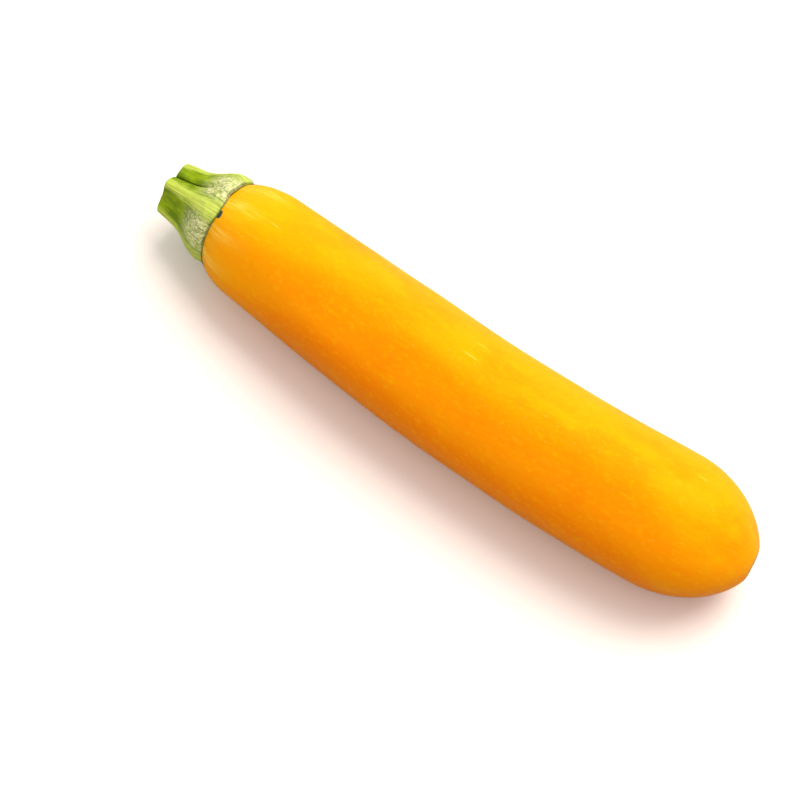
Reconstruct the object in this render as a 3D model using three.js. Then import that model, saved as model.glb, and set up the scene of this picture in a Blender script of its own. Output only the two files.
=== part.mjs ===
// A yellow zucchini as picked, lying on its side: the fruit and the cut stem that it hung from.
// Millimetres, +Z up, resting on z = 0, with the stem towards -X and the blossom end towards +X.
// A station is a distance along the fruit, counted from where the skin comes out of the collar.
// A section's angle is measured from straight up, turning towards -Y.
import * as THREE from 'three';
import { mergeVertices } from 'three/addons/utils/BufferGeometryUtils.js';

const { degToRad, lerp, smoothstep } = THREE.MathUtils;

// Stations
const CUT = -20.2; // the knife's cut through the stem
const CROWN = -7.1; // the top of the fruit, covered by the collar
const RIM = 1.3; // the edge of the collar
const TIP = 188.6; // the blossom end

// Fruit
const NECK_RADIUS = 17.6;
const FILLING = { gain: 2.44, from: -5, to: 80 }; // the neck fills out
const SWELLING = { gain: 0.86, from: 75, to: 160 }; // and the blossom half swells a little more
const SHOULDER_LENGTH = 21.7;
const CAP_LENGTH = 27.8;
const CAP_BLUNTNESS = 0.565; // 0.5 is a true ellipse
const BOW = [-5.7, -10.2]; // sideways pull of the two handles of the bow
const DROOP = { drop: 4.6, aside: 2, length: 45 }; // the blossom end hangs down and turns a little
const NECK_BEND = { slope: 0.125, from: 8, length: 12 }; // and the stem end is bent straight again
const BELLY_FLAT = 0.9; // how far the weight has flattened the belly
const SKIN_GROOVE = 0.034; // depth of the shallow lengthwise furrows, as a share of the radius
const SCAR = { radius: 5.2, dish: 0.5 }; // where the blossom dropped off

// Stem
const STEM_CRESTS = [ // station and radius along the crest of a rib, from the cut to the collar's rim
  [CUT + 0.5, 8.8],
  [-16, 9.5],
  [-11, 10.6],
  [-6, 13.3],
  [-2.4, 14.7],
  [0.2, 14.5],
  [RIM, 13.85],
];
const CUT_BEVEL = 0.5;
const STEM_GROOVE = { cut: 0.34, rim: 0.035 }; // depth of the valleys between the ribs
const SEAT_GAP = 0.3; // between the collar's underside and the fruit

// Five ribs on the stem, which run on as five blunt edges of the fruit and veer a little there
const RIBS = 5;
const FIRST_RIB = degToRad(22);
const VEER = { turn: degToRad(-28), from: 2, to: 58 };
const VEER_BACK = { turn: degToRad(10), from: 58, to: 92 };

// Fineness of the meshes
const FRUIT_RINGS = 40;
const SEAT_RINGS = 7;
const CREST_RINGS = 12;
const AROUND = 50;
const WELD = 1e-4;

/** Radius of the fruit between its rounded ends. */
function trunkRadius(station) {
  const filling = FILLING.gain * smoothstep(station, FILLING.from, FILLING.to);
  const swelling = SWELLING.gain * smoothstep(station, SWELLING.from, SWELLING.to);
  return NECK_RADIUS + filling + swelling;
}

/** Radius of the fruit, from zero at the crown to zero at the blossom end. */
function fruitRadius(station) {
  const intoShoulder = Math.max(CROWN + SHOULDER_LENGTH - station, 0) / SHOULDER_LENGTH;
  const intoCap = Math.max(station - (TIP - CAP_LENGTH), 0) / CAP_LENGTH;
  const shoulder = Math.sqrt(Math.max(1 - intoShoulder ** 2, 0));
  const cap = Math.max(1 - intoCap ** 2, 0) ** CAP_BLUNTNESS;
  return trunkRadius(station) * shoulder * cap;
}

/** The middle line of stem and fruit: bowed, bent at the neck, and drooping at the blossom end. */
class Spine extends THREE.Curve {
  getPoint(t, target = new THREE.Vector3()) {
    const station = lerp(CUT, TIP, t);
    const u = station / TIP;
    const bow = 3 * (1 - u) * u * (BOW[0] * (1 - u) + BOW[1] * u);
    const beforeBend = Math.max(NECK_BEND.from - station, 0);
    const inBend = Math.min(beforeBend, NECK_BEND.length);
    const bend = NECK_BEND.slope * (inBend ** 2 / (2 * NECK_BEND.length) + beforeBend - inBend);
    const droop = (Math.max(station - (TIP - DROOP.length), 0) / DROOP.length) ** 2;
    const height = trunkRadius(station) - BELLY_FLAT - DROOP.drop * droop;
    return target.set(station, bow - bend + DROOP.aside * droop, height);
  }
}

const spine = new Spine();
const UP = new THREE.Vector3(0, 0, 1);

/** 1 on the crest of a rib, 0 in the valley between two. */
function ribHeight(station, angle) {
  const veer = VEER.turn * smoothstep(station, VEER.from, VEER.to);
  const back = VEER_BACK.turn * smoothstep(station, VEER_BACK.from, VEER_BACK.to);
  return (1 + Math.cos(RIBS * (angle - FIRST_RIB - veer - back))) / 2;
}

/**
 * Closed body from rings around the spine. Each ring has a station, a radius on the rib crests and
 * a groove, which is how deep its valleys are as a share of that radius.
 */
function bodyFromRings(rings) {
  const profile = rings.map((ring) => new THREE.Vector2(ring.radius, ring.station));
  const geometry = new THREE.LatheGeometry(profile, AROUND);
  const positions = geometry.getAttribute('position');
  const vertex = new THREE.Vector3();
  for (let index = 0; index < positions.count; index += 1) {
    vertex.fromBufferAttribute(positions, index);
    const { station, groove } = rings[index % rings.length];
    const scale = 1 - groove * (1 - ribHeight(station, Math.atan2(-vertex.z, vertex.x)));
    const along = (station - CUT) / (TIP - CUT);
    const tangent = spine.getTangent(along);
    const top = UP.clone().addScaledVector(tangent, -UP.dot(tangent)).normalize();
    const side = tangent.cross(top);
    const point = spine.getPoint(along);
    point.addScaledVector(top, vertex.x * scale).addScaledVector(side, -vertex.z * scale);
    positions.setXYZ(index, point.x, point.y, Math.max(point.z, 0));
  }
  geometry.deleteAttribute('normal');
  geometry.deleteAttribute('uv');
  const body = mergeVertices(geometry, WELD);
  body.computeVertexNormals();
  return body;
}

/** The fruit, with the shallow dish of the blossom scar at its tip. */
function fruit() {
  const rings = [];
  for (let index = 0; index <= FRUIT_RINGS; index += 1) {
    const station = lerp(CROWN, TIP, (1 - Math.cos((Math.PI * index) / FRUIT_RINGS)) / 2);
    const radius = fruitRadius(station);
    const onCap = station > TIP - CAP_LENGTH;
    if (!onCap || radius > SCAR.radius) {
      rings.push({ station, radius, groove: SKIN_GROOVE });
    }
  }
  const last = rings[rings.length - 1];
  rings.push({ station: last.station + SCAR.dish, radius: SCAR.radius, groove: 0 });
  rings.push({ station: last.station + SCAR.dish / 2, radius: SCAR.radius / 2, groove: 0 });
  rings.push({ station: last.station, radius: 0, groove: 0 });
  const skin = new THREE.MeshStandardMaterial({ color: 0xfaa605, roughness: 0.4, metalness: 0 });
  const mesh = new THREE.Mesh(bodyFromRings(rings), skin);
  mesh.name = 'fruit';
  return mesh;
}

/** Rings of the collar's hollow underside, which follows the fruit's crown with a small gap. */
function seatRings() {
  const depth = SHOULDER_LENGTH + SEAT_GAP;
  const middle = CROWN + SHOULDER_LENGTH;
  const rimAngle = Math.acos((middle - RIM) / depth);
  const rings = [];
  for (let index = 0; index <= SEAT_RINGS; index += 1) {
    const angle = rimAngle * (1 - index / SEAT_RINGS);
    const station = middle - depth * Math.cos(angle);
    const radius = (trunkRadius(station) + SEAT_GAP) * Math.sin(angle);
    rings.push({ station, radius, groove: SKIN_GROOVE });
  }
  return rings;
}

/** The stem: a ribbed stalk that flares into a collar, cut square at its free end. */
function stem() {
  const crest = new THREE.SplineCurve(STEM_CRESTS.map((point) => new THREE.Vector2(...point)));
  const cutRadius = STEM_CRESTS[0][1] - CUT_BEVEL;
  const rings = [0, 0.5, 1].map((share) => (
    { station: CUT, radius: cutRadius * share, groove: STEM_GROOVE.cut }
  ));
  for (const { x: station, y: radius } of crest.getPoints(CREST_RINGS)) {
    const groove = lerp(STEM_GROOVE.cut, STEM_GROOVE.rim, smoothstep(station, CUT, RIM));
    rings.push({ station, radius, groove });
  }
  rings.push(...seatRings());
  const green = new THREE.MeshStandardMaterial({ color: 0x9db534, roughness: 0.6, metalness: 0 });
  const mesh = new THREE.Mesh(bodyFromRings(rings), green);
  mesh.name = 'stem';
  return mesh;
}

const zucchini = new THREE.Group();
zucchini.add(fruit(), stem());

// The origin is under the middle of the whole thing
const box = new THREE.Box3().setFromObject(zucchini);
const centre = box.getCenter(new THREE.Vector3());
zucchini.position.set(-centre.x, -centre.y, -box.min.z);

export default zucchini;
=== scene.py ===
"""A yellow zucchini as picked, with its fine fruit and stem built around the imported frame.

Both pieces are round bodies drawn along one bowed middle line. A station is a distance along that
line, zero where the skin comes out of the stem's collar, and an angle is turned from straight up
towards -Y. All sizes are in metres.
"""
import logging
import math
from dataclasses import dataclass, field
from enum import Enum
from functools import lru_cache
from typing import Any, Optional, Sequence, Union

import bmesh
import bpy
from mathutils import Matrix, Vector, noise


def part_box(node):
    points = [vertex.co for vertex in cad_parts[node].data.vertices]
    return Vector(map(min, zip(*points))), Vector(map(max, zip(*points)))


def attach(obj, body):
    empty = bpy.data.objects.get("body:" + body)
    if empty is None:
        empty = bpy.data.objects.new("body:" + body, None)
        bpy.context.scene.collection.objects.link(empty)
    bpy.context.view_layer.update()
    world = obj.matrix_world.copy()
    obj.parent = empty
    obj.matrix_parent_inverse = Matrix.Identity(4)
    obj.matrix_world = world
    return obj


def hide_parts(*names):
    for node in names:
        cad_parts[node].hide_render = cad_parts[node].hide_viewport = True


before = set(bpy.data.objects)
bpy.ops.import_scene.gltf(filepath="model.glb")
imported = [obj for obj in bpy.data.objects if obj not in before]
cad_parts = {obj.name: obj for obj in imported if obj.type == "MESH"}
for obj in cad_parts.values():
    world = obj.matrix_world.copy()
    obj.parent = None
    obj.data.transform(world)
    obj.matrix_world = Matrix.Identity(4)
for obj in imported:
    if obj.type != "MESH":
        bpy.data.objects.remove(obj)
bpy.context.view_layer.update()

MM = 0.001
LOG = logging.getLogger("zucchini")

Colour = tuple[float, float, float, float]
Axes = tuple[Vector, Vector, Vector]
Socket = Union[bpy.types.NodeSocket, float, Sequence[float]]


def lerp(low: float, high: float, share: float) -> float:
    """Value at a share of the way from low to high."""
    return low + (high - low) * share


def smoothstep(value: float, low: float, high: float) -> float:
    """0 below low, 1 above high, and an eased rise between them."""
    share = min(max((value - low) / (high - low), 0.0), 1.0)
    return share * share * (3.0 - 2.0 * share)


def softmax(value: float, floor: float, softness: float) -> float:
    """The larger of value and floor, with the corner between them rounded over softness."""
    gap = value - floor
    return floor + 0.5 * (gap + math.sqrt(gap * gap + softness * softness)) - 0.5 * softness


def curve_through(points: Sequence[tuple[float, float]], share: float) -> tuple[float, float]:
    """Point on a smooth curve through a few points.

    Args:
        points: The points that the curve passes, in order.
        share: How far along the curve, from 0 to 1.

    Returns:
        The point on the curve.
    """
    spans = len(points) - 1
    at = min(max(share, 0.0), 1.0) * spans
    first = min(int(at), spans - 1)
    t = at - first
    near = [points[min(max(first + step, 0), spans)] for step in (-1, 0, 1, 2)]
    weights = (
        -0.5 * t + t * t - 0.5 * t ** 3,
        1.0 - 2.5 * t * t + 1.5 * t ** 3,
        0.5 * t + 2.0 * t * t - 1.5 * t ** 3,
        -0.5 * t * t + 0.5 * t ** 3,
    )
    x, y = (sum(weight * point[axis] for weight, point in zip(weights, near)) for axis in (0, 1))
    return x, y


# ---------------------------------------------------------------------------------------------
# Shape
# ---------------------------------------------------------------------------------------------


@dataclass(frozen=True)
class Trunk:
    """How thick the fruit is between its rounded ends."""

    neck: float = 17.6 * MM
    filling: float = 2.44 * MM
    filling_span: tuple[float, float] = (-5.0 * MM, 80.0 * MM)
    swelling: float = 0.86 * MM
    swelling_span: tuple[float, float] = (75.0 * MM, 160.0 * MM)

    def radius(self, station: float) -> float:
        """Radius of the fruit at a station, before its ends are rounded."""
        filled = self.filling * smoothstep(station, *self.filling_span)
        swollen = self.swelling * smoothstep(station, *self.swelling_span)
        return self.neck + filled + swollen


@dataclass(frozen=True)
class Spine:
    """The middle line of stem and fruit: bowed, bent at the neck, and drooping at the blossom end."""

    trunk: Trunk = Trunk()
    cut: float = -20.2 * MM
    tip: float = 188.6 * MM
    bow: tuple[float, float] = (-5.7 * MM, -10.2 * MM)
    drop: float = 4.6 * MM
    aside: float = 2.0 * MM
    droop_length: float = 45.0 * MM
    neck_slope: float = 0.125
    neck_from: float = 8.0 * MM
    neck_length: float = 12.0 * MM
    belly_flat: float = 0.9 * MM

    def point(self, station: float) -> Vector:
        """Point of the middle line at a station."""
        u = station / self.tip
        bow = 3.0 * (1.0 - u) * u * (self.bow[0] * (1.0 - u) + self.bow[1] * u)
        before_bend = max(self.neck_from - station, 0.0)
        in_bend = min(before_bend, self.neck_length)
        bend = self.neck_slope * (in_bend ** 2 / (2.0 * self.neck_length) + before_bend - in_bend)
        droop = (max(station - (self.tip - self.droop_length), 0.0) / self.droop_length) ** 2
        height = self.trunk.radius(station) - self.belly_flat
        return Vector((station, bow - bend + self.aside * droop, height - self.drop * droop))

    @lru_cache(maxsize=None)
    def axes(self, station: float) -> Axes:
        """Point, upward and sideways directions of the section at a station."""
        step = 0.02 * MM
        tangent = (self.point(station + step) - self.point(station - step)).normalized()
        up = Vector((0.0, 0.0, 1.0))
        top = (up - tangent * up.dot(tangent)).normalized()
        return self.point(station), top, tangent.cross(top)

    def place(self, station: float, radius: float, angle: float) -> Vector:
        """Point at a radius and an angle in the section at a station."""
        point, top, side = self.axes(station)
        return point + top * (radius * math.cos(angle)) + side * (radius * math.sin(angle))


@dataclass(frozen=True)
class Ribs:
    """Five ribs that run down the stem and on as blunt edges of the fruit, where they veer a little."""

    count: int = 5
    first: float = math.radians(22.0)
    veer: float = math.radians(-28.0)
    veer_span: tuple[float, float] = (2.0 * MM, 58.0 * MM)
    veer_back: float = math.radians(10.0)
    veer_back_span: tuple[float, float] = (58.0 * MM, 92.0 * MM)
    bluntness: float = 0.45

    def line(self, station: float) -> float:
        """Angle of the first rib at a station."""
        veer = self.veer * smoothstep(station, *self.veer_span)
        return self.first + veer + self.veer_back * smoothstep(station, *self.veer_back_span)

    def offset(self, station: float, angle: float) -> float:
        """Angle from the nearest rib."""
        pitch = math.tau / self.count
        return (angle - self.line(station) + 0.5 * pitch) % pitch - 0.5 * pitch

    def crest(self, station: float, angle: float) -> float:
        """1 on a rib's crest, 0 in the valley between two, and rounded in between."""
        return 0.5 + 0.5 * math.cos(self.count * self.offset(station, angle))

    def edge(self, station: float, angle: float) -> float:
        """1 on a rib and 0 halfway between two, with an almost flat facet in between."""
        away = abs(self.offset(station, angle)) * self.count / math.pi
        full = math.hypot(1.0, self.bluntness)
        return ((full - math.hypot(away, self.bluntness)) / (full - self.bluntness)) ** 2


@dataclass(frozen=True)
class Collar:
    """The scalloped edge of the stem's collar, which reaches further down the skin at the ribs."""

    rim: float = 0.9 * MM
    lobe: float = 0.9 * MM
    lean: float = 0.9 * MM
    ragged: float = 0.45 * MM

    def edge(self, ribs: Ribs, angle: float) -> float:
        """Station of the collar's edge at an angle."""
        uneven = noise.noise(Vector((3.2 * math.cos(angle), 3.2 * math.sin(angle), 4.0)))
        lobe = self.lobe * (ribs.crest(0.0, angle) - 0.5)
        return self.rim + lobe + self.lean * math.sin(angle) + self.ragged * uneven


class Region(Enum):
    """Marks that tell a finish which part of a piece it is on."""

    UNDER = -1.0
    OUTSIDE = 0.0
    CUT = 1.0


def new_ball(rings: int, around: int) -> bmesh.types.BMesh:
    """A ball of radius one, ready to be drawn out into a piece.

    Args:
        rings: How many rings it has from pole to pole.
        around: How many faces each ring has.

    Returns:
        The ball, with its poles on Z.
    """
    mesh = bmesh.new()
    bmesh.ops.create_uvsphere(mesh, u_segments=around, v_segments=rings, radius=1.0)
    return mesh


def finish_mesh(mesh: bmesh.types.BMesh, name: str) -> bpy.types.Object:
    """Closes a mesh up, turns its faces out and makes it a smooth object.

    Args:
        mesh: The finished shape, in the frame's own place.
        name: The piece's name.

    Returns:
        The new object, which sits at the origin.
    """
    bmesh.ops.remove_doubles(mesh, verts=mesh.verts, dist=0.001 * MM)
    bmesh.ops.recalc_face_normals(mesh, faces=mesh.faces)
    data = bpy.data.meshes.new(name)
    mesh.to_mesh(data)
    mesh.free()
    data.shade_smooth()
    piece = bpy.data.objects.new(name, data)
    bpy.context.scene.collection.objects.link(piece)
    return piece


@dataclass
class Grown:
    """A grown piece: a ball that is drawn out along the spine and carries its own coordinates."""

    spine: Spine = Spine()
    ribs: Ribs = Ribs()
    collar: Collar = Collar()
    # How far round the painted lit side turns at the blossom end.
    tip_painted_light_spread: float = math.radians(48.0)
    name: str = ""
    rings: int = 0
    around: int = 0

    def shape(self, share: float, angle: float) -> tuple[float, float, float]:
        """Where a point of the ball goes.

        Args:
            share: How far the point is from the stem's end of the ball, from 0 to 1.
            angle: The point's angle around the spine.

        Returns:
            Station, radius, and the mark that the finish reads to tell regions apart.
        """
        raise NotImplementedError

    def painted_light_side(self, station: float, angle: float) -> float:
        """1 where the skin gets painted light, -1 where it gets painted shade, 0 elsewhere."""
        spread = self.tip_painted_light_spread * smoothstep(station, 150.0 * MM, 184.0 * MM)
        away = (angle - self.ribs.line(station) - spread + math.pi) % math.tau - math.pi
        painted_light_gold = 1.0 - smoothstep(away, math.radians(-20.0), math.radians(31.0))
        deep_and_painted_shade = smoothstep(away, math.radians(42.0), math.radians(76.0))
        back = smoothstep(away, math.radians(-165.0), math.radians(-110.0))
        return painted_light_gold * back - deep_and_painted_shade * (1.0 - smoothstep(away, math.radians(100.0), math.radians(150.0)))

    def crease_shade_mask(self, station: float, angle: float) -> float:
        """1 at the bottom of the sharpest crease between two ribs, 0 where there is none; the stem's finish
        paints shade there.
        """
        return 0.0

    def build(self) -> bmesh.types.BMesh:
        """Draws the ball out and stores the coordinates that the finish reads.

        Returns:
            The shape in the maker's frame, with the section's middle height unchanged.
        """
        mesh = new_ball(self.rings, self.around)
        straight = mesh.verts.layers.float_vector.new("straight")
        turn = mesh.verts.layers.float_vector.new("turn")
        mark = mesh.verts.layers.float.new("mark")
        crest = mesh.verts.layers.float.new("crest")
        past_collar = mesh.verts.layers.float.new("past_collar")
        painted_light_side = mesh.verts.layers.float.new("painted_light_side")
        crease_shade_mask = mesh.verts.layers.float.new("crease_shade_mask")
        for vert in mesh.verts:
            share = math.acos(min(max(vert.co.z, -1.0), 1.0)) / math.pi
            angle = math.atan2(vert.co.y, vert.co.x)
            station, radius, region = self.shape(share, angle)
            vert[straight] = Vector((station, radius * math.cos(angle), radius * math.sin(angle)))
            vert[turn] = Vector((station, math.cos(angle), math.sin(angle)))
            vert[mark] = region
            vert[crest] = self.ribs.crest(station, angle)
            vert[past_collar] = station - self.collar.edge(self.ribs, angle)
            vert[painted_light_side] = self.painted_light_side(station, angle)
            vert[crease_shade_mask] = self.crease_shade_mask(station, angle)
            vert.co = self.spine.place(station, radius, angle)
            vert.co.z = softmax(vert.co.z, 0.0, 0.1 * MM)
        return mesh


@dataclass
class Fruit(Grown):
    """The fruit, from the crown that the collar hides to the corky blossom scar."""

    name: str = "fruit_skin"
    rings: int = 330
    around: int = 260
    crown: float = -7.1 * MM
    shoulder: float = 21.7 * MM
    cap: float = 27.8 * MM
    bluntness: float = 0.565
    groove: float = 0.034
    neck_groove: float = 0.022
    scar_radius: float = 5.2 * MM
    scar_dish: float = 0.5 * MM

    def smooth_radius(self, station: float) -> float:
        """Radius of the fruit, from zero at the crown to zero at the blossom end."""
        into_shoulder = max(self.crown + self.shoulder - station, 0.0) / self.shoulder
        into_cap = max(station - (self.spine.tip - self.cap), 0.0) / self.cap
        shoulder = math.sqrt(max(1.0 - into_shoulder ** 2, 0.0))
        cap = max(1.0 - into_cap ** 2, 0.0) ** self.bluntness
        return self.spine.trunk.radius(station) * shoulder * cap

    @property
    def scar_station(self) -> float:
        """Station of the scar's edge, where the rounded end is as wide as the scar."""
        share = self.scar_radius / self.spine.trunk.radius(self.spine.tip)
        into_cap = math.sqrt(1.0 - share ** (1.0 / self.bluntness))
        return self.spine.tip - self.cap * (1.0 - into_cap)

    def unevenness(self, station: float, angle: float) -> float:
        """How far the skin stands out of its smooth shape: broad lumps, and creases at the collar."""
        around = Vector((math.cos(angle), math.sin(angle), 0.0))
        lump = noise.noise(around * 1.3 + Vector((station / (28.0 * MM), 5.0, 2.0)))
        fine = noise.noise(around * 4.0 + Vector((station / (11.0 * MM), 1.0, 7.0)))
        crease = noise.noise(Vector((around.x * 9.0, around.y * 9.0, station / (30.0 * MM))))
        near_collar = 1.0 - smoothstep(station, 0.0, 22.0 * MM)
        return (0.22 * lump + 0.05 * fine + 0.12 * near_collar * crease) * MM

    def skin_radius(self, station: float, angle: float) -> float:
        """Radius of the fruit with its ribs and unevenness."""
        radius = self.smooth_radius(station)
        full = smoothstep(radius, 0.0, 12.0 * MM)
        groove = self.groove + self.neck_groove * (1.0 - smoothstep(station, 0.0, 40.0 * MM))
        radius *= 1.0 - groove * (1.0 - self.ribs.edge(station, angle))
        return radius + full * self.unevenness(station, angle)

    def shape(self, share: float, angle: float) -> tuple[float, float, float]:
        """See Grown.shape. The mark is above 0 in the scar, 1 at its middle, and below 0 outside it."""
        eased = 0.5 - 0.5 * math.cos(math.pi * share)
        station = lerp(self.crown, self.spine.tip, eased)
        across = self.smooth_radius(station) / self.scar_radius
        if station <= self.scar_station:
            on_tip = station > self.spine.tip - self.cap
            mark = max(1.0 - across ** 2, Region.UNDER.value) if on_tip else Region.UNDER.value
            return station, self.skin_radius(station, angle), mark
        wobble = noise.noise(Vector((2.5 * math.cos(angle), 2.5 * math.sin(angle), 9.0 * across)))
        rim = math.exp(-((across - 0.84) / 0.1) ** 2)
        navel = math.exp(-(across / 0.22) ** 2)
        rise = 0.5 * rim - 0.62 * (1.0 - across ** 2) + 0.25 * navel + 0.12 * wobble * across
        rim_radius = self.skin_radius(self.scar_station, angle)
        return self.scar_station + self.scar_dish * rise, rim_radius * across, 1.0 - across ** 2


@dataclass
class Stem(Grown):
    """The cut stem, whose ribs flare into a lobed collar on the fruit's crown."""

    fruit: Fruit = field(default_factory=Fruit)
    name: str = "stem_skin"
    rings: int = 240
    around: int = 400
    seat_gap: float = 0.12 * MM
    cut_share: float = 0.16
    rim_share: float = 0.82
    bevel: float = 0.45 * MM
    groove_cut: float = 0.34
    groove_rim: float = 0.05
    rib_width: float = math.radians(21.0)
    valley_depths: tuple[float, ...] = (0.78, 1.0, 0.85, 1.05, 1.1)
    valley_creases: tuple[float, ...] = (0.01, 0.07, 0.04, 0.08, 0.15)
    crease_width: float = math.radians(4.5)
    crest_line: tuple[tuple[float, float], ...] = (
        (-19.75 * MM, 8.8 * MM),
        (-16.0 * MM, 9.5 * MM),
        (-11.0 * MM, 10.6 * MM),
        (-6.0 * MM, 13.3 * MM),
        (-2.4 * MM, 14.7 * MM),
        (0.2 * MM, 14.5 * MM),
        (1.3 * MM, 13.75 * MM),
    )

    def valley(self, angle: float) -> int:
        """Number of the valley that an angle is in."""
        turned = ((angle - self.ribs.first) % math.tau) / math.tau
        return int(turned * self.ribs.count) % self.ribs.count

    def crease(self, station: float, angle: float) -> float:
        """Depth of the crease along a valley's bottom, as a share of the radius."""
        along = smoothstep(station, self.spine.cut, self.collar.rim)
        aside = math.pi / self.ribs.count - abs(self.ribs.offset(0.0, angle))
        across = math.exp(-(aside / self.crease_width) ** 2)
        return self.valley_creases[self.valley(angle)] * across * (1.0 - along ** 2)

    def crease_shade_mask(self, station: float, angle: float) -> float:
        """See Grown.crevice."""
        return self.crease(station, angle) / max(self.valley_creases)

    def section(self, station: float, angle: float) -> float:
        """Share of the crest radius that the stem has at an angle: 1 on a rib, less in a valley."""
        along = smoothstep(station, self.spine.cut, self.collar.rim)
        groove = lerp(self.groove_cut, self.groove_rim, along)
        into = abs(self.ribs.offset(0.0, angle))
        rib = math.exp(-(into / self.rib_width) ** 1.7)
        neighbour = math.exp(-((math.tau / self.ribs.count - into) / self.rib_width) ** 1.7)
        depth = groove * self.valley_depths[self.valley(angle)]
        return 1.0 - depth * (1.0 - min(rib + neighbour, 1.0)) - self.crease(station, angle)

    def unevenness(self, station: float, angle: float) -> float:
        """Lengthwise fibres all along, and knobs on the collar."""
        around = Vector((math.cos(angle), math.sin(angle), 0.0))
        fibre = noise.noise(Vector((around.x * 17.0, around.y * 17.0, station / (10.0 * MM))))
        knob = noise.noise(around * 8.0 + Vector((0.0, 0.0, station / (2.2 * MM))))
        lump = noise.noise(around * 2.5 + Vector((3.0, 1.0, station / (6.0 * MM))))
        on_collar = smoothstep(station, -10.0 * MM, -3.0 * MM)
        return (0.22 * fibre + 0.26 * on_collar * knob + 0.4 * lump) * MM

    def shape(self, share: float, angle: float) -> tuple[float, float, float]:
        """See Grown.shape. The mark is above 1 on the cut face, 0 outside and -1 underneath."""
        if share < self.cut_share:
            return self.cut_face(share / self.cut_share, angle)
        if share < self.rim_share:
            return self.outside((share - self.cut_share) / (self.rim_share - self.cut_share), angle)
        return self.seat((share - self.rim_share) / (1.0 - self.rim_share), angle)

    def cut_face(self, across: float, angle: float) -> tuple[float, float, float]:
        """Point of the knife's cut, at a share of the way from its middle to its edge."""
        outer = (self.crest_line[0][1] - self.bevel) * self.section(self.spine.cut, angle)
        ring = noise.noise(Vector((across * 2.4 * math.cos(angle), across * 2.4 * math.sin(angle), 1.0)))
        dip = (0.3 * (1.0 - across ** 2) + 0.14 * ring) * MM
        return self.spine.cut + dip, outer * across, Region.CUT.value + 1.0 - across

    def outside(self, along: float, angle: float) -> tuple[float, float, float]:
        """Point of the ribbed outside, at a share of the way from the cut to the collar's edge."""
        station, radius = curve_through(self.crest_line, along)
        radius = radius * self.section(station, angle)
        radius += self.unevenness(station, angle) * smoothstep(along, 0.0, 0.1)
        reach = smoothstep(along, 0.5, 1.0)
        station += reach * (self.collar.edge(self.ribs, angle) - self.collar.rim)
        if station > -3.0 * MM:
            radius = max(radius, self.fruit.skin_radius(station, angle) + self.seat_gap)
        return station, radius, Region.OUTSIDE.value

    def seat(self, inward: float, angle: float) -> tuple[float, float, float]:
        """Point of the hollow underside, which follows the fruit's crown with a thin gap."""
        depth = self.fruit.shoulder
        middle = self.fruit.crown + depth
        edge = self.collar.edge(self.ribs, angle)
        lean = math.acos((middle - edge) / depth) * (1.0 - inward)
        station = middle - depth * math.cos(lean)
        radius = self.fruit.skin_radius(station, angle) * smoothstep(1.0 - inward, 0.0, 0.02)
        gap = self.seat_gap
        return station - gap * math.cos(lean), radius + gap * math.sin(lean), Region.UNDER.value


# ---------------------------------------------------------------------------------------------
# Finishes
# ---------------------------------------------------------------------------------------------


class Op(Enum):
    """Sums that a value node can do."""

    ADD = "ADD"
    SUBTRACT = "SUBTRACT"
    MULTIPLY = "MULTIPLY"
    MULTIPLY_ADD = "MULTIPLY_ADD"
    DIVIDE = "DIVIDE"
    LESS_THAN = "LESS_THAN"


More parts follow.
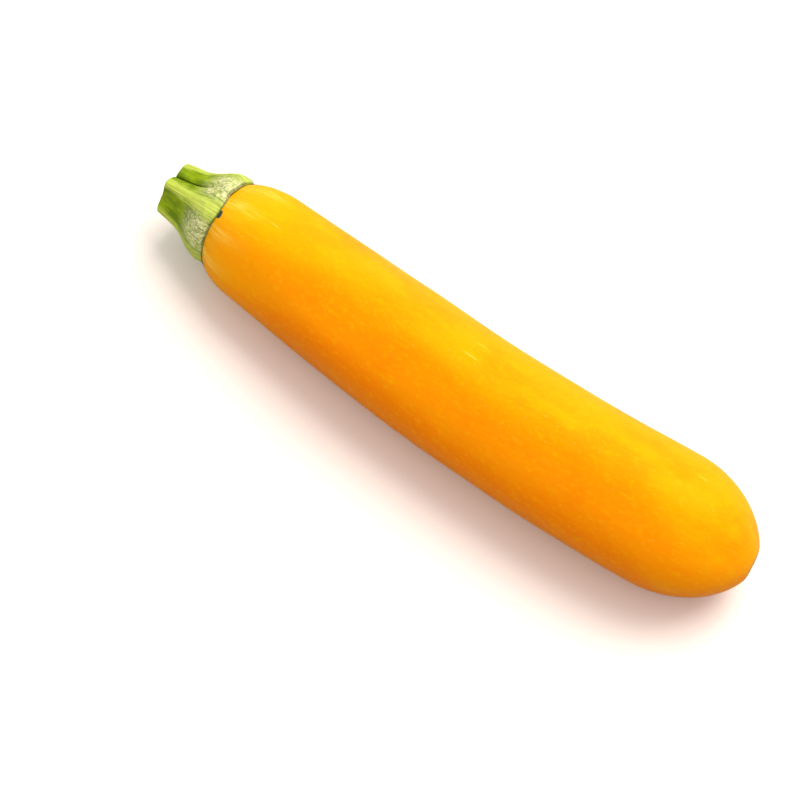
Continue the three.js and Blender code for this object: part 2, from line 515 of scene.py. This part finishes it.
class Graph:
    """Adds nodes to a tree and wires them up."""

    def __init__(self, tree: bpy.types.NodeTree) -> None:
        """Works on one node tree."""
        self.tree = tree

    def feed(self, socket: bpy.types.NodeSocket, source: Socket) -> None:
        """Wires a socket to another socket, or sets its value."""
        if isinstance(source, bpy.types.NodeSocket):
            self.tree.links.new(source, socket)
        else:
            socket.default_value = source

    def node(self, kind: str, inputs: Optional[dict[Any, Socket]] = None, **settings: Any) -> bpy.types.Node:
        """Adds a node.

        Args:
            kind: The node's type name.
            inputs: What each input takes, by its name or number.
            **settings: The node's own settings.

        Returns:
            The new node.
        """
        made = self.tree.nodes.new(kind)
        for name, value in settings.items():
            setattr(made, name, value)
        for name, source in (inputs or {}).items():
            self.feed(made.inputs[name], source)
        return made

    def math(self, op: Op, first: Socket, second: Socket, third: Socket = 0.0) -> Socket:
        """Result of a sum on two or three values."""
        made = self.node("ShaderNodeMath", {0: first, 1: second, 2: third}, operation=op.value)
        return made.outputs[0]

    def product(self, first: Socket, *others: Socket) -> Socket:
        """All the values multiplied together."""
        for other in others:
            first = self.math(Op.MULTIPLY, first, other)
        return first

    def span(self, value: Socket, low: float, high: float, to: tuple[float, float] = (0.0, 1.0)) -> Socket:
        """Eased value that runs between two ends while the source goes from low to high."""
        made = self.node(
            "ShaderNodeMapRange",
            {"Value": value, "From Min": low, "From Max": high, "To Min": to[0], "To Max": to[1]},
            interpolation_type="SMOOTHSTEP",
        )
        return made.outputs["Result"]

    def mix(self, share: Socket, first: Socket, second: Socket) -> Socket:
        """Colour between two others."""
        made = self.node("ShaderNodeMix", data_type="RGBA")
        self.feed(made.inputs["Factor"], share)
        self.feed(made.inputs[6], first)
        self.feed(made.inputs[7], second)
        return made.outputs[2]

    def attribute(self, name: str, output: str = "Vector") -> Socket:
        """A coordinate or mark that the piece's mesh carries."""
        return self.node("ShaderNodeAttribute", attribute_name=name).outputs[output]

    def stretch(self, vector: Socket, scale: Sequence[float]) -> Socket:
        """Coordinates stretched along each axis."""
        made = self.node("ShaderNodeVectorMath", {0: vector, 1: scale}, operation="MULTIPLY")
        return made.outputs["Vector"]

    def noise(self, vector: Socket, scale: float, detail: float = 2.0, rough: float = 0.5) -> Socket:
        """Cloudy noise around 0.5."""
        made = self.node(
            "ShaderNodeTexNoise",
            {"Vector": vector, "Scale": scale, "Detail": detail, "Roughness": rough},
        )
        return made.outputs["Fac"]

    def group(self, tree: bpy.types.NodeTree, inputs: dict[str, Socket]) -> bpy.types.Node:
        """Places a shared effect."""
        made = self.node("ShaderNodeGroup")
        made.node_tree = tree
        for name, source in inputs.items():
            self.feed(made.inputs[name], source)
        return made


def new_effect(
    name: str, inputs: dict[str, tuple[str, Any]], outputs: dict[str, str]
) -> tuple[bpy.types.NodeTree, Graph, dict[str, Socket], bpy.types.Node]:
    """Starts a shared effect with named inputs and outputs.

    Args:
        name: The effect's name.
        inputs: Socket type and starting value of each input.
        outputs: Socket type of each output.

    Returns:
        The tree, its graph, its input sockets by name, and its output node.
    """
    tree = bpy.data.node_groups.new(name, "ShaderNodeTree")
    for label, (kind, value) in inputs.items():
        socket = tree.interface.new_socket(name=label, in_out="INPUT", socket_type=kind)
        socket.default_value = value
    for label, kind in outputs.items():
        tree.interface.new_socket(name=label, in_out="OUTPUT", socket_type=kind)
    graph = Graph(tree)
    entry = graph.node("NodeGroupInput")
    sockets = {label: entry.outputs[label] for label in inputs}
    return tree, graph, sockets, graph.node("NodeGroupOutput")


def flecks_effect() -> bpy.types.NodeTree:
    """Small pale marks, scattered one to a cell, of which only a share shows."""
    tree, graph, given, result = new_effect(
        "flecks",
        {
            "Vector": ("NodeSocketVector", (0.0, 0.0, 0.0)),
            "Scale": ("NodeSocketFloat", 1.0),
            "Size": ("NodeSocketFloat", 0.3),
            "Share": ("NodeSocketFloat", 0.5),
        },
        {"Mask": "NodeSocketFloat"},
    )
    cells = graph.node("ShaderNodeTexVoronoi", {"Vector": given["Vector"], "Scale": given["Scale"]})
    picked = graph.node("ShaderNodeSeparateColor", {0: cells.outputs["Color"]})
    shown = graph.math(Op.LESS_THAN, picked.outputs[0], given["Share"])
    edge = graph.math(Op.DIVIDE, cells.outputs["Distance"], given["Size"])
    strength = graph.math(Op.MULTIPLY_ADD, picked.outputs[1], 0.7, 0.3)
    graph.feed(result.inputs["Mask"], graph.product(graph.span(edge, 1.0, 0.35), shown, strength))
    return tree


def streaks_effect() -> bpy.types.NodeTree:
    """Fine lines that run lengthwise, stronger here and weaker there."""
    tree, graph, given, result = new_effect(
        "streaks",
        {
            "Vector": ("NodeSocketVector", (0.0, 0.0, 0.0)),
            "Fineness": ("NodeSocketFloat", 1.0),
            "Contrast": ("NodeSocketFloat", 1.0),
        },
        {"Value": "NodeSocketFloat"},
    )
    lines = graph.node(
        "ShaderNodeTexNoise",
        {"Vector": given["Vector"], "Scale": given["Fineness"], "Detail": 3.0, "Roughness": 0.6},
    )
    centred = graph.math(Op.SUBTRACT, lines.outputs["Fac"], 0.5)
    raised = graph.math(Op.MULTIPLY_ADD, centred, given["Contrast"], 0.5)
    raised.node.use_clamp = True
    graph.feed(result.inputs["Value"], raised)
    return tree


@dataclass(frozen=True)
class Effects:
    """The effects that both finishes share."""

    flecks: bpy.types.NodeTree
    streaks: bpy.types.NodeTree


def new_finish(name: str) -> tuple[bpy.types.Material, Graph, bpy.types.Node]:
    """Starts a finish.

    Args:
        name: The material's name.

    Returns:
        The material, its graph and its shader.
    """
    made = bpy.data.materials.new(name)
    made.use_nodes = True
    return made, Graph(made.node_tree), made.node_tree.nodes["Principled BSDF"]


@dataclass(frozen=True)
class SkinFinish:
    """Waxy golden skin with pale flecks and streaks, green at the collar and corky at the scar."""

    # The golden colour is painted light on the lit side; the deeper orange is the skin's own cloudy tone and
    # also painted shade.
    painted_light_gold: Colour = (0.95, 0.36, 0.001, 1.0)
    orange: Colour = (0.94, 0.282, 0.001, 1.0)
    deep_and_painted_shade: Colour = (0.93, 0.22, 0.0008, 1.0)
    bright: Colour = (0.97, 0.44, 0.0015, 1.0)
    # Pale: the skin's own flecks and streaks, and also a painted highlight in the collar's rays next to the
    # ribs.
    pale: Colour = (0.98, 0.60, 0.08, 1.0)
    green: Colour = (0.03, 0.065, 0.045, 1.0)
    shadow: Colour = (0.16, 0.13, 0.012, 1.0)
    cork: Colour = (0.46, 0.25, 0.085, 1.0)
    cork_dark: Colour = (0.20, 0.09, 0.028, 1.0)
    specular: float = 0.045
    specular_tint: Colour = (1.0, 0.75, 0.2, 1.0)
    roughness: tuple[float, float] = (0.34, 0.44)
    glow: float = 0.35
    glow_depth: float = 4.0 * MM

    def ground(self, graph: Graph, effects: Effects, straight: Socket, turn: Socket) -> Socket:
        """Skin colour: golden painted light on one side, deeper orange painted shade on the other, orange
        between, cloudy, finely lined and brighter towards the collar.
        """
        # Painted light and shade: golden towards the light, deeper orange on the side away from it.
        painted_light_side = graph.attribute("painted_light_side", "Fac")
        colour = graph.mix(graph.span(painted_light_side, 0.0, 1.0), self.orange, self.painted_light_gold)
        colour = graph.mix(graph.span(painted_light_side, 0.0, -1.0), colour, self.deep_and_painted_shade)
        clouds = graph.noise(graph.stretch(straight, (0.4, 1.0, 1.0)), 120.0, 3.0)
        colour = graph.mix(graph.span(clouds, 0.4, 0.7, (0.0, 0.45)), colour, self.deep_and_painted_shade)
        mottle = graph.noise(graph.stretch(straight, (0.6, 1.0, 1.0)), 900.0, 2.0)
        colour = graph.mix(graph.span(mottle, 0.5, 0.75, (0.0, 0.35)), colour, self.bright)
        lines = graph.group(
            effects.streaks,
            {"Vector": graph.stretch(turn, (3.0, 1.0, 1.0)), "Fineness": 38.0, "Contrast": 1.8},
        ).outputs[0]
        colour = graph.mix(graph.span(lines, 0.5, 1.0, (0.0, 0.3)), colour, self.bright)
        station = graph.node("ShaderNodeSeparateXYZ", {0: straight}).outputs[0]
        return graph.mix(graph.span(station, 42.0 * MM, 0.0, (0.0, 0.5)), colour, self.bright)

    def freckles(
        self, graph: Graph, effects: Effects, straight: Socket, turn: Socket, colour: Socket
    ) -> Socket:
        """Adds pale dots and dashes, and pale rays that fan out of the collar: partly the skin's own streaks
        and partly a painted highlight, strongest next to the ribs.

        Args:
            graph: Where the nodes go.
            effects: The shared effects.
            straight: The skin's own coordinates.
            turn: The station, and the angle as a cosine and a sine.
            colour: The colour so far.

        Returns:
            The colour with its freckles.
        """
        station = graph.node("ShaderNodeSeparateXYZ", {0: straight}).outputs[0]
        short, long = (graph.stretch(straight, (along, 1.0, 1.0)) for along in (0.7, 0.13))
        dots = graph.group(
            effects.flecks, {"Vector": short, "Scale": 620.0, "Size": 0.22, "Share": 0.6}
        ).outputs[0]
        dashes = graph.group(
            effects.flecks, {"Vector": long, "Scale": 420.0, "Size": 0.2, "Share": 0.05}
        ).outputs[0]
        rays = graph.group(
            effects.streaks,
            {"Vector": graph.stretch(turn, (2.2, 1.0, 1.0)), "Fineness": 52.0, "Contrast": 2.4},
        ).outputs[0]
        crest = graph.attribute("crest", "Fac")
        # Painted highlight: the collar's rays are made much paler next to the ribs.
        painted_highlight_beside_ribs = graph.product(graph.span(crest, 0.05, 0.4), graph.span(crest, 0.85, 0.55))
        near = graph.product(graph.span(station, 20.0 * MM, 2.0 * MM), graph.span(rays, 0.3, 0.75))
        strength = graph.math(Op.MULTIPLY_ADD, painted_highlight_beside_ribs, 0.85, 0.1)
        colour = graph.mix(graph.product(dots, 0.3), colour, self.pale)
        colour = graph.mix(graph.product(dashes, 0.6), colour, self.pale)
        return graph.mix(graph.product(near, strength), colour, self.pale)

    def junction(self, graph: Graph, straight: Socket, colour: Socket) -> Socket:
        """Adds the painted shadow line under the collar's edge and the green spots below its ribs."""
        past = graph.attribute("past_collar", "Fac")
        along = graph.math(Op.DIVIDE, graph.math(Op.SUBTRACT, past, 0.7 * MM), 1.4 * MM)
        off_crest = graph.math(Op.SUBTRACT, 1.0, graph.attribute("crest", "Fac"))
        across = graph.math(Op.DIVIDE, off_crest, 0.05)
        away = graph.math(Op.MULTIPLY_ADD, along, along, across)
        ragged = graph.math(Op.MULTIPLY_ADD, graph.noise(straight, 700.0, 2.0), 1.6, -0.8)
        spot = graph.span(graph.math(Op.ADD, away, ragged), 1.25, 0.55)
        # Painted shadow: the skin darkens just below the collar's edge.
        colour = graph.mix(graph.span(past, 0.45 * MM, 0.1 * MM, (0.0, 0.85)), colour, self.shadow)
        return graph.mix(spot, colour, self.green)

    def scar(self, graph: Graph, straight: Socket, turn: Socket, colour: Socket) -> Socket:
        """Adds the corky blossom scar: a tan border, a dark ring and a rayed, dusty middle."""
        grain = graph.noise(straight, 1500.0, 3.0)
        mark = graph.attribute("mark", "Fac")
        into = graph.math(Op.ADD, mark, graph.math(Op.MULTIPLY_ADD, grain, 0.36, -0.18))
        rays = graph.noise(graph.stretch(turn, (0.0, 1.0, 1.0)), 7.0, 3.0)
        mixed = graph.math(Op.ADD, rays, graph.math(Op.MULTIPLY_ADD, grain, 0.5, -0.25))
        corky = graph.mix(graph.span(mixed, 0.3, 0.75), self.cork_dark, self.cork)
        corky = graph.mix(graph.span(into, 0.8, 0.95, (0.0, 0.7)), corky, self.cork_dark)
        ring = graph.mix(graph.span(into, 0.32, 0.12, (0.0, 0.75)), corky, self.cork_dark)
        colour = graph.mix(graph.span(into, -0.55, 0.0, (0.0, 0.6)), colour, self.cork)
        return graph.mix(graph.span(into, -0.03, 0.07), colour, ring)

    def material(self, effects: Effects) -> bpy.types.Material:
        """Builds the finish.

        Args:
            effects: The shared effects.

        Returns:
            The material.
        """
        made, graph, shader = new_finish("zucchini_skin")
        straight, turn = graph.attribute("straight"), graph.attribute("turn")
        colour = self.ground(graph, effects, straight, turn)
        colour = self.freckles(graph, effects, straight, turn, colour)
        colour = self.junction(graph, straight, colour)
        colour = self.scar(graph, straight, turn, colour)
        graph.feed(shader.inputs["Base Color"], colour)

        peel = graph.noise(straight, 1500.0, 2.0)
        ripple = graph.noise(graph.stretch(straight, (0.4, 1.0, 1.0)), 260.0, 2.0)
        height = graph.math(Op.MULTIPLY_ADD, ripple, 2.0, peel)
        bump = graph.node("ShaderNodeBump", {"Strength": 0.35, "Distance": 0.05 * MM, "Height": height})
        graph.feed(shader.inputs["Normal"], bump.outputs[0])
        patches = graph.noise(straight, 240.0, 2.0)
        graph.feed(shader.inputs["Roughness"], graph.span(patches, 0.3, 0.7, self.roughness))
        shader.inputs["Subsurface Weight"].default_value = self.glow
        shader.inputs["Subsurface Radius"].default_value = (1.0, 0.35, 0.06)
        shader.inputs["Subsurface Scale"].default_value = self.glow_depth
        shader.inputs["Specular IOR Level"].default_value = self.specular
        shader.inputs["Specular Tint"].default_value = self.specular_tint
        return made


@dataclass(frozen=True)
class StemFinish:
    """Fibrous green stem, lime on its crests, partly as a painted highlight, with painted shade in its
    creases and at the collar's edge, and mottled with cream on its collar.
    """

    lime: Colour = (0.50, 0.57, 0.075, 1.0)
    leaf: Colour = (0.26, 0.36, 0.002, 1.0)
    shade: Colour = (0.125, 0.20, 0.001, 1.0)
    # The crease colour is painted shade, for the sharpest crease and for the collar's edge.
    crease: Colour = (0.045, 0.075, 0.002, 1.0)
    cream: Colour = (0.74, 0.70, 0.34, 1.0)
    flesh: Colour = (0.42, 0.47, 0.12, 1.0)
    specular: float = 0.12
    roughness: tuple[float, float] = (0.46, 0.62)
    glow: float = 0.15
    glow_depth: float = 1.2 * MM

    def material(self, effects: Effects) -> bpy.types.Material:
        """Builds the finish.

        Args:
            effects: The shared effects.

        Returns:
            The material.
        """
        made, graph, shader = new_finish("zucchini_stem")
        straight, turn = graph.attribute("straight"), graph.attribute("turn")
        mark, crest = graph.attribute("mark", "Fac"), graph.attribute("crest", "Fac")
        station = graph.node("ShaderNodeSeparateXYZ", {0: straight}).outputs[0]

        fibres = graph.group(
            effects.streaks,
            {"Vector": graph.stretch(turn, (7.0, 1.0, 1.0)), "Fineness": 26.0, "Contrast": 2.4},
        ).outputs[0]
        clouds = graph.noise(graph.stretch(straight, (0.5, 1.0, 1.0)), 380.0, 3.0)
        green = graph.mix(graph.span(clouds, 0.35, 0.65), self.shade, self.leaf)
        # Painted shade: the darkest green goes into the sharpest crease between two ribs.
        crease_shade_mask = graph.attribute("crease_shade_mask", "Fac")
        green = graph.mix(graph.span(crease_shade_mask, 0.25, 0.9), green, self.crease)
        # Lime on the crests and fibres: partly the stem's own colour and partly a painted highlight along
        # the crests.
        raised = graph.span(crest, 0.45, 1.0, (-0.1, 0.8))
        lit = graph.math(Op.MULTIPLY_ADD, graph.math(Op.SUBTRACT, fibres, 0.5), 0.9, raised)
        colour = graph.mix(graph.span(lit, 0.1, 0.9), green, self.lime)

        speckle = graph.noise(graph.stretch(straight, (0.45, 1.0, 1.0)), 1500.0, 3.0, 0.6)
        collar = graph.span(station, -12.5 * MM, -4.5 * MM)
        valley = graph.span(crest, 0.95, 0.3, (0.12, 1.0))
        cream = graph.product(collar, valley, graph.span(speckle, 0.3, 0.66, (0.12, 1.0)))
        colour = graph.mix(cream, colour, self.cream)
        # Painted shade: the collar darkens towards its edge, where it meets the skin.
        rim = graph.span(graph.attribute("past_collar", "Fac"), -0.5 * MM, -0.1 * MM, (0.0, 0.6))
        colour = graph.mix(rim, colour, self.crease)

        rays = graph.noise(graph.stretch(turn, (0.0, 1.0, 1.0)), 9.0, 3.0)
        face = graph.mix(graph.span(rays, 0.35, 0.65), self.leaf, self.flesh)
        face = graph.mix(graph.span(mark, 1.3, 1.9), face, self.cream)
        face = graph.mix(graph.span(mark, 1.12, 1.03), face, self.lime)
        colour = graph.mix(graph.span(mark, 0.4, 0.9), colour, face)
        graph.feed(shader.inputs["Base Color"], colour)

        height = graph.math(Op.MULTIPLY_ADD, speckle, 0.35, fibres)
        bump = graph.node("ShaderNodeBump", {"Strength": 0.65, "Distance": 0.12 * MM, "Height": height})
        graph.feed(shader.inputs["Normal"], bump.outputs[0])
        graph.feed(shader.inputs["Roughness"], graph.span(clouds, 0.3, 0.7, self.roughness))
        shader.inputs["Subsurface Weight"].default_value = self.glow
        shader.inputs["Subsurface Radius"].default_value = (0.8, 1.0, 0.2)
        shader.inputs["Subsurface Scale"].default_value = self.glow_depth
        shader.inputs["Specular IOR Level"].default_value = self.specular
        return made


# ---------------------------------------------------------------------------------------------
# Studio
# ---------------------------------------------------------------------------------------------


@dataclass
class Studio:
    """A plain pale floor, a big overhead softbox and a camera that looks down on the fruit."""

    azimuth: float = 37.5
    elevation: float = 61.0
    distance: float = 1.0
    lens: float = 156.4
    aim: tuple[float, float] = (-21.5 * MM, -0.57 * MM)
    floor_size: float = 6.0
    floor_pale: Colour = (1.0, 0.90, 0.82, 1.0)
    floor_bounce: Colour = (0.38, 0.38, 0.38, 1.0)
    key_power: float = 17.5
    key_size: float = 1.1
    key_from: tuple[float, float, float] = (0.2, 0.62, 1.1)
    sky: float = 0.84

    def add_camera(self, target: Vector) -> None:
        """Places the camera.

        Args:
            target: The point that it stands the set distance away from.
        """
        azimuth, elevation = math.radians(self.azimuth), math.radians(self.elevation)
        back = Vector((
            math.sin(azimuth) * math.cos(elevation),
            -math.cos(azimuth) * math.cos(elevation),
            math.sin(elevation),
        ))
        right = Vector((math.cos(azimuth), math.sin(azimuth), 0.0))
        up = back.cross(right)
        data = bpy.data.cameras.new("camera")
        data.lens = self.lens
        data.clip_start = 0.05
        camera = bpy.data.objects.new("camera", data)
        camera.location = target + back * self.distance + right * self.aim[0] + up * self.aim[1]
        camera.rotation_euler = back.to_track_quat("Z", "Y").to_euler()
        bpy.context.scene.collection.objects.link(camera)
        bpy.context.scene.camera = camera

    def add_key(self) -> None:
        """Places the softbox, which faces the fruit."""
        data = bpy.data.lights.new("softbox", "AREA")
        data.shape = "SQUARE"
        data.size = self.key_size
        data.energy = self.key_power
        light = bpy.data.objects.new("softbox", data)
        light.location = Vector(self.key_from)
        light.rotation_euler = light.location.to_track_quat("Z", "Y").to_euler()
        bpy.context.scene.collection.objects.link(light)

    def add_sky(self) -> None:
        """Even white light from all round."""
        world = bpy.data.worlds.new("white")
        world.use_nodes = True
        background = world.node_tree.nodes["Background"]
        background.inputs["Color"].default_value = (1.0, 1.0, 1.0, 1.0)
        background.inputs["Strength"].default_value = self.sky
        bpy.context.scene.world = world

    def add_floor(self) -> bpy.types.Object:
        """Lays the floor.

        Returns:
            The floor, which is no part of the object.
        """
        mesh = bmesh.new()
        bmesh.ops.create_grid(mesh, x_segments=1, y_segments=1, size=0.5 * self.floor_size)
        floor = finish_mesh(mesh, "floor")
        made = bpy.data.materials.new("pale_floor")
        made.use_nodes = True
        graph = Graph(made.node_tree)
        shader = made.node_tree.nodes["Principled BSDF"]
        seen = graph.node("ShaderNodeLightPath").outputs["Is Camera Ray"]
        graph.feed(shader.inputs["Base Color"], graph.mix(seen, self.floor_bounce, self.floor_pale))
        shader.inputs["Roughness"].default_value = 0.9
        shader.inputs["Specular IOR Level"].default_value = 0.0
        floor.data.materials.append(made)
        return floor

    def build(self, target: Vector) -> None:
        """Sets up camera, lights and floor around a target point."""
        self.add_camera(target)
        self.add_key()
        self.add_sky()
        self.add_floor()
        scene = bpy.context.scene
        scene.view_settings.view_transform = "Standard"
        scene.view_settings.look = "None"


# ---------------------------------------------------------------------------------------------
# Assembly
# ---------------------------------------------------------------------------------------------


def frame_shift(mesh: bmesh.types.BMesh, node: str) -> Vector:
    """How far a mesh has to move for its box to share the middle and the base of a node's box."""
    low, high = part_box(node)
    own_low = Vector([min(vert.co[axis] for vert in mesh.verts) for axis in range(3)])
    own_high = Vector([max(vert.co[axis] for vert in mesh.verts) for axis in range(3)])
    shift = 0.5 * (low + high) - 0.5 * (own_low + own_high)
    shift.z = low.z - own_low.z
    return shift


def hand_over(piece: bpy.types.Object, node: str, material: bpy.types.Material) -> None:
    """Dresses a finished piece and lets it stand for its node.

    Args:
        piece: The finished piece.
        node: The node that it replaces.
        material: Its finish.
    """
    piece.data.materials.append(material)
    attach(piece, "root")
    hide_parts(node)
    LOG.info("%s: %d faces", piece.name, len(piece.data.polygons))


def main() -> None:
    """Builds the studio, the fruit and the stem."""
    logging.basicConfig(level=logging.INFO)
    effects = Effects(flecks=flecks_effect(), streaks=streaks_effect())
    fruit = Fruit()
    stem = Stem(fruit=fruit)
    fruit_mesh = fruit.build()
    stem_mesh = stem.build()
    shift = frame_shift(fruit_mesh, "fruit")
    for mesh in (fruit_mesh, stem_mesh):
        bmesh.ops.translate(mesh, verts=mesh.verts, vec=shift)
    middle = Vector((0.5 * fruit.spine.tip, -4.0 * MM, 18.0 * MM)) + shift
    Studio().build(middle)
    skin = finish_mesh(fruit_mesh, fruit.name)
    hand_over(skin, "fruit", SkinFinish().material(effects))
    green = finish_mesh(stem_mesh, stem.name)
    hand_over(green, "stem", StemFinish().material(effects))


if __name__ == "__main__":
    main()
